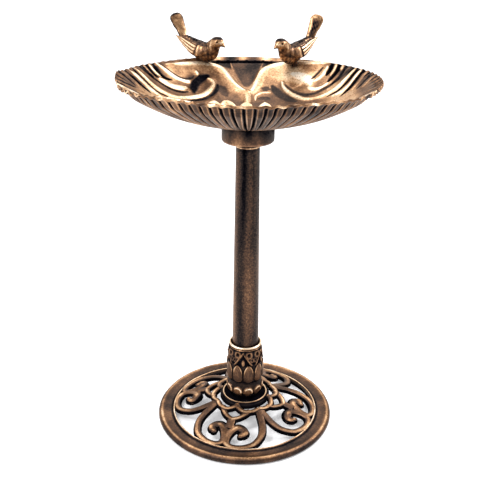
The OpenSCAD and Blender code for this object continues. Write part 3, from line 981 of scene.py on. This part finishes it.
def bowl_relief(x, y):
    """Height of the cast pattern inside the bowl, and how far it is rubbed, with painted highlights
    and painted shade in the same value.
    """
    mirrored = np.abs(y)
    height = np.zeros(x.shape)
    r = np.hypot(x, y)
    patina_and_light = 0.58 + 0.10 * waves(31, 40, x, y) + 0.07 * waves(32, 13, x, y)
    patina_and_light = mix(patina_and_light, 0.46, step(160, 90, r))
    # The sides inside the bowl are painted pale: partly rubbed finish, partly painted highlight.
    patina_and_light = mix(patina_and_light, 0.78, step(125, 165, np.abs(x)) * step(235, 220, r))
    side = step(0.70, 0.84, np.abs(x) / np.maximum(r, 1))
    scallop = step(0.0, 0.8, ruffle_wave(np.arctan2(y, x)))
    patina_and_light = mix(patina_and_light, 0.50, side * step(190, 210, r))
    patina_and_light = mix(patina_and_light, 0.06, side * step(214, 230, r) * scallop * 0.9)
    panel = step(3, -3, np.abs(x + 4) - (5 + (y - 150) * 0.42)) * step(150, 158, y)
    flank = step(203, 209, y) * step(100, 88, np.abs(x)) * (1 - panel)
    patina_and_light = mix(mix(patina_and_light, 0.36 + 0.05 * waves(33, 20, x, y), panel), 0.22, flank)
    for width, rise, tone, points in STROKES:
        line = smooth_line(points, 5)
        reach = 3 * width
        low, high = line.min(0) - reach, line.max(0) + reach
        near = (x > low[0]) & (x < high[0]) & (mirrored > low[1]) & (mirrored < high[1])
        if not near.any():
            continue
        d, along = nearest(line, x[near], mirrored[near])
        ends = step(-0.12, 0.22, along) * step(1.12, 0.78, along)
        share = bump(np.abs(d), width * mix(0.45, 1.0, ends)) * mix(0.5, 1.0, ends)
        height[near] += share * rise
        cover = step(0.12, 0.62, share)
        patina_and_light[near] = mix(patina_and_light[near], tone, cover)
    return height, patina_and_light


def lip_lobes(x, y):
    """Scallops that stand up just inside the front of the rim, painted pale in make_basin as a
    painted highlight.
    """
    height = np.zeros(x.shape)
    for middle, half, rise in ((-31, 17, 15), (-52, 13, 12), (-2, 14, 14.5), (26, 13, 13)):
        across = unit(1 - ((x - middle) / half) ** 2) ** 0.8
        height = np.maximum(height, rise * bump(-y - 216, 7.5) * across)
    return height


def make_basin(material):
    """The fluted bowl: cast pattern inside, ribs underneath, and a thin scalloped lip."""
    columns = 12 * RIBS
    angle = np.arange(columns) * 2 * math.pi / columns
    across, away = np.cos(angle), np.sin(angle)
    wall, edge_wall = 6.0, 2.3
    shares = np.r_[np.linspace(0, 0.25, 12), np.linspace(0.255, 1, 170)]
    low_shares = np.r_[np.linspace(1, FLAT_R / RIM_R, 60), np.linspace(0.206, 0, 6)]
    rim_rise = RIM_Z - BASIN_Z - 2
    rib, wave = rib_wave(angle), rim_wave(angle)
    uneven = 1 + 0.45 * round_waves(22, 1.0, angle, 6)
    ruffle = mix(0.9, 2.1, step(0.5, 0.95, np.abs(across))) * uneven
    ruffle = -ruffle * mix(0.35, 1.0, step(0.5, -0.1, away)) * ruffle_wave(angle)
    back = step(0.86, 0.95, away)
    ruffle = mix(ruffle, 0.9 * round_waves(25, 1.0, angle, 10), back)
    reach = rim_radius(angle)
    front = step(-0.3, -0.7, away)

    def lower(share):
        deep = mix(6.0, 4.6, step(0.6, 0.8, share)) * unit(2.2 * (share - 0.2))
        body = BASIN_Z + (rim_rise - 3.6) * underside(share * RIM_R)
        body = body + deep * (0.66 - rib_wave(angle, share)) * mix(1, 0.75, step(0.9, 1, share))
        lip = BASIN_Z + rim_rise - edge_wall + ruffle
        return mix(body, lip, step(0.90, 1.0, share)) + wave * step(0.55, 1.0, share)

    def upper(share):
        x, y = share * reach * across, share * reach * away
        body = BASIN_Z + wall * (1 - 0.4 * share) + rim_rise * underside(share * RIM_R)
        height, patina_and_light = bowl_relief(x, y)
        z = body + height * step(1.0, 0.95, share)
        z = z + ruffle * step(0.93, 1.0, share) - 1.6 * step(0.9, 1.0, share)
        lobes = lip_lobes(x, y)
        z = z + wave * step(0.55, 1.0, share) + lobes
        near_rim = step(0.945, 0.985, share)
        patina_and_light = mix(patina_and_light, 0.40 + 0.38 * (0.6 - rib), near_rim * 0.6 * front)
        # Painted highlight: the lobes are painted pale where they rise.
        patina_and_light = mix(patina_and_light, 0.86, step(3, 7, lobes))
        pale = 0.56 + 0.34 * waves(26, 26, x, y)
        patina_and_light = mix(patina_and_light, pale, back * step(0.955, 0.975, share))
        return np.maximum(z, lower(share) + 0.7), patina_and_light

    # Rows of points, and of the rubbed finish with its painted highlights and shade.
    rows, patina_and_light_rows = [], []

    def lay(r, z, patina_and_light):
        rows.append(np.stack([r * across, r * away, z], -1))
        patina_and_light_rows.append(patina_and_light)

    for share in shares:
        z, patina_and_light = upper(share)
        lay(share * reach + 0.01, z, patina_and_light)
    z_top, z_low = upper(1.0)[0], lower(1.0)
    middle, half = (z_top + z_low) / 2, (z_top - z_low) / 2
    # The lip's edge is painted pale: partly the rubbed edge of the finish, partly a painted
    # highlight.
    bright = 0.66 + 0.26 * round_waves(23, 1.2, angle, 20)
    bright = mix(bright, 0.62 + 0.30 * round_waves(26, 26, angle, reach), back)
    for lean in np.radians([50, 0, -50]):
        lay(reach + 0.8 * math.cos(lean) + 0.8 * rib * (1 - back), middle + half * math.sin(lean),
            bright)
    # Underside: grooves painted black as painted shade and rib edges painted pale as painted
    # highlight, over the ribs' own tone.
    light = 0.36 + 0.12 * round_waves(24, 1.0, angle, 9)
    for share in low_shares:
        grow = step(0.93, 1.0, share)
        under_patina_and_light = mix(0.0, light, rib_wave(angle, share)) + 0.34 * rib_edge(angle, share)
        lay(share * (reach + 0.8 * rib * grow * (1 - back)) + 0.01, lower(share),
            mix(0.20, under_patina_and_light, step(0.16, 0.3, share)))
    points = np.array(rows).reshape(-1, 3)
    basin = new_piece("basin_cast", points, grid_faces(len(rows), columns))
    patina_and_light = np.array(patina_and_light_rows).ravel()
    wear_and_shade = 0.05 * waves(41, 18, *points.T) + 0.04 * waves(42, 50, *points.T)
    paint(basin, patina_and_light + wear_and_shade)
    weld(basin, 2e-5)
    finish_piece(basin, material, "bowl", "basin_bronze", "basin")


# ---- birds

def loft(centres, across, upward, count=40):
    """A closed body through ellipses: centres, then half width and half height at each."""
    centres = smooth_line(centres, 6)
    sizes = smooth_line(np.stack([across, upward], -1), 6)
    way = np.gradient(centres, axis=0)
    way /= np.linalg.norm(way, axis=1)[:, None]
    side = np.array([0.0, 1.0, 0.0])
    rows = []
    for p, w, (a, b) in zip(centres, way, sizes):
        up = np.cross(w, side)
        up = up / np.linalg.norm(up)
        for t in np.arange(count) * 2 * math.pi / count:
            rows.append(p + side * a * math.cos(t) + up * b * math.sin(t))
    return np.array(rows), capped_faces(len(centres), count)


WING_LINE = [(17, 10.5, 27), (8, 14.5, 28), (-8, 15.8, 30), (-25, 13.2, 36), (-44, 9.5, 45),
             (-63, 6.5, 53.5)]


def wing_shell(side):
    """A folded wing, a flat leaf from the shoulder to its tip."""
    middle = smooth_line(WING_LINE, 8)
    wide = smooth_line([(1, 1.5), (10.5, 4.0), (12.5, 4.6), (10.0, 3.8), (6.2, 2.6), (0.8, 0.9)], 8)
    way = np.gradient(middle, axis=0)
    way /= np.linalg.norm(way, axis=1)[:, None]
    count = 28
    rows = []
    for p, w, (half, thick) in zip(middle, way, wide):
        out = np.array([0.12, 1.0, 0.30])
        out = out - w * (out @ w)
        out /= np.linalg.norm(out)
        rise = np.cross(out, w)
        for t in np.arange(count) * 2 * math.pi / count:
            q = p + rise * half * math.cos(t) + out * thick * math.sin(t)
            rows.append((q[0], side * q[1], q[2]))
    return np.array(rows), capped_faces(len(middle), count)


TAIL_TILT, TAIL_TWIST = math.radians(28), math.radians(-36)
TAIL_LONG = 55.2
TAIL_ROOT = (44.0, 47.5)
# Up the tail: share of its length, half width and half thickness
TAIL_SPOTS = [(0.0, 8.4, 4.0), (0.2, 9.4, 3.2), (0.45, 11.4, 2.6), (0.65, 13.4, 2.5),
              (0.80, 14.0, 2.4), (0.90, 12.4, 2.2), (0.96, 9.0, 1.9), (0.99, 5.0, 1.4),
              (1.0, 0.8, 0.5)]


def tail_shell():
    """A rounded paddle that leans back from the rump."""
    share, wide, thick = np.array(TAIL_SPOTS).T
    centres = [(0, 0, TAIL_LONG * s) for s in share]
    points, faces = loft(centres, wide, thick)
    x, y, z = points.T
    x, y = spin(x, y, TAIL_TWIST)
    x, z = spin(x, z, TAIL_TILT)
    return np.stack([x - TAIL_ROOT[0], y, z + TAIL_ROOT[1]], -1), faces


def tail_place(x, y, z):
    """Where a point is on the tail: how far out from its middle line, and how far up."""
    x, z = x + TAIL_ROOT[0], z - TAIL_ROOT[1]
    x, z = spin(x, z, -TAIL_TILT)
    across = spin(x, y, -TAIL_TWIST)[1]
    share, wide, _ = np.array(TAIL_SPOTS).T
    up = unit(z / TAIL_LONG)
    return across / np.interp(up, share, wide), up


def bird_shells(lean):
    body = loft([(-54, 0, 52), (-45, 0, 48.5), (-32, 0, 41), (-18, 0, 33), (-4, 0, 26.5),
                 (8, 0, 24), (17, 0, 28), (24, 0, 36), (29, 0, 42), (35, 0, 45.6),
                 (40.6, 0, 45.2), (44.6, 0, 43.4), (48.6, 0, 41), (54.4, 0, 37.4)],
                [2.5, 6.6, 9.8, 13.4, 15.8, 16.8, 16.0, 13.2, 12.0, 12.4, 10.2, 6.4, 3.6, 0.6],
                [2.5, 7.2, 12.0, 16.6, 19.4, 20.4, 19.0, 15.6, 13.0, 12.4, 10.2, 6.2, 3.3, 0.6])
    px, py = -lean[0], -lean[1]
    foot = loft([(px, py, -1.6), (px, py, 4), (px, py, 10)], [6, 5.6, 5], [6, 5.6, 5], 20)
    return joined([body, wing_shell(1), wing_shell(-1), tail_shell(), foot])


def bird_detail(bird, shaded_tail):
    """Cuts the feathers, eyes and beak line, and paints the bird. With shaded_tail, the tail and
    the lines of the wing are painted darker, as painted shade.
    """
    points, out = places(bird), normals(bird)
    x, y, z = points.T
    flank = np.abs(y)
    wing_line = smooth_line([(px, pz) for px, _, pz in WING_LINE], 8)
    d, along = nearest(wing_line, x, z)
    half = np.interp(along, [0, 0.1, 0.3, 0.55, 0.8, 1], [3, 10.5, 12.5, 10, 6.2, 1])
    v = d / half
    wing = step(1.05, 0.9, np.abs(v)) * step(0.25, 0.55, np.abs(out[:, 1])) * step(-66, -60, x)
    wing = wing * step(5, 8, flank + along * 6)
    line = (0.5 - 0.5 * np.cos(v * 4 * math.pi)) ** 2
    quills = wing * step(0.24, 0.34, along)
    coverts = wing * step(0.30, 0.20, along)
    cut = 0.8 * quills * line + 0.7 * wing * bump(along - 0.285, 0.02)
    eye = np.sqrt((x - 40.5) ** 2 + (flank - 11) ** 2 + (z - 48) ** 2)
    down = 0.35 * step(0, 1, 1 - quills) * waves(51, 6, x, y, z)
    cut += 0.9 * bump(eye, 1.5) - down
    move_points(bird, points - out * cut[:, None])

    def lay(tone, share):
        nonlocal patina_and_light
        patina_and_light = mix(patina_and_light, tone, share)

    patina_and_light = 0.54 + 0.12 * waves(52, 9, x, y, z) + 0.18 * waves(53, 4, x, y, z)
    patina_and_light -= 0.20 * step(16, 6, z) * step(-40, -30, x)
    back = step(0.55, 0.9, out[:, 2]) * step(34, 26, x) * step(-46, -40, x) * (1 - quills)
    lay(0.20 + 0.2 * waves(54, 4, x, y, z), back)
    lay(0.86 - (0.70 if shaded_tail else 0.46) * line, quills)
    lay(0.62 + 0.12 * waves(55, 5, x, y, z), coverts)
    lay(0.76, wing * bump(along - 0.22, 0.024))
    lay(0.06 if shaded_tail else 0.30, wing * bump(along - 0.285, 0.020))
    lay(0.10, wing * bump(np.abs(v) - 1.0, 0.09) * 0.9)
    head = step(26, 30, x) * step(36, 40, z)
    lay(0.66, head)
    lay(0.80, step(32, 38, z) * bump(x - 26, 2.2) * step(0.85, 0.6, out[:, 2]))
    cap = head * step(0.42, 0.70, out[:, 2]) * step(44, 48, z) * step(49, 45, x)
    lay(0.96, head * bump(z - 45.6, 3.2) * step(36, 39, x) * step(49, 47, x))
    lay(0.24 + 0.12 * waves(58, 4, x, y, z), 0.95 * cap)
    lay(0.0, unit(1.5 * bump(eye, 1.6)))
    lay(0.10, step(46, 49, x) * step(40.2, 39, z))
    across, up = tail_place(x, y, z)
    tail = step(52, 56, z) * step(0.02, 0.12, up)
    edge = step(0.72, 0.98, np.abs(across)) + step(0.88, 0.96, up)
    plain = 0.66 + 0.07 * waves(56, 5, x, y, z) + 0.14 * step(0.3, 0.1, up)
    rim = np.maximum(step(0.30, 0.75, np.abs(across + 0.1)), step(0.62, 0.88, up))
    # For the shaded tail: painted shade over the whole tail, with paler rubbed edges and random
    # unevenness.
    wear_and_shade = 0.26 + 0.42 * rim + 0.22 * waves(57, 3.5, x, y, z) * (1 - 0.8 * rim)
    pale = mix(plain, 0.12, 0.85 * unit(edge))
    lay(wear_and_shade if shaded_tail else pale, tail)
    paint(bird, patina_and_light)


def make_birds(material):
    """Two small birds that face each other from the back of the rim."""
    low, high = span("bird_washers")
    washer_r = 4.025
    foot_z = high[2] + 7
    left = (low[0] + washer_r, high[1] - washer_r)
    right = (high[0] - washer_r, low[1] + washer_r)
    # foot in plan, turn in degrees, the way it faces, and how far the body is off its foot
    stands = {"bird_left": (left, 30, 1, (0, 0)), "bird_right": (right, 41, -1, (1.2, 4.0))}
    for name, ((px, py), turn, facing, lean) in stands.items():
        bird = new_piece(name + "_cast", *bird_shells(lean))
        fuse(bird, 0.75)
        relax(bird, 3)
        bird_detail(bird, facing < 0)
        x, y, z = places(bird).T
        x, y = spin(x + lean[0], y + lean[1], math.radians(-turn))
        move_points(bird, np.stack([px + facing * x, py + y, foot_z + z], -1))
        if facing < 0:
            bird.data.flip_normals()
        finish_piece(bird, material, "bowl", "bird_bronze", name)


# ---- CAD nodes that stay

def dress(material, *nodes):
    """Gives CAD nodes a material. Their meshes stay as they are."""
    for name in nodes:
        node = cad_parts[name]
        node.data.materials.clear()
        node.data.materials.append(material)


bpy.context.scene.view_settings.view_transform = "Standard"
make_camera()
make_world()
make_lights()
make_floor()
make_ring(bronze("ring_bronze", speckle_scale=240))
make_scrolls(bronze("scroll_bronze", speckle=0.16, patch_scale=50, speckle_scale=280))
make_hub(bronze("hub_bronze", patch=0.06, speckle=0.08))
make_sleeve(bronze("sleeve_bronze", patch_scale=80, speckle_scale=330))
make_pole(bronze("pole_bronze", patch=0.08, patch_scale=60, speckle=0.30, speckle_scale=300,
                 stretch=(1, 1, 0.25), gloss=0.22))
make_collar(bronze("collar_bronze", patch_scale=40, speckle_scale=260))
make_basin(bronze("basin_bronze", patch=0.11, patch_scale=60, speckle_scale=260))
make_birds(bronze("bird_bronze", patch_scale=120, speckle_scale=420))
dress(bronze("plug_bronze", patch=0.16, speckle=0.16, patina_and_light=0.16), "pole_foot_plug", "seat_ring")
# The top plug is painted pale: a painted highlight where the pole meets the collar.
dress(bronze("joint_highlight_bronze", patch=0.16, speckle=0.16, patina_and_light=0.80), "pole_top_plug")
dress(steel("zinc"), "sleeve_screws", "sleeve_washers", "bird_screws", "bird_washers")
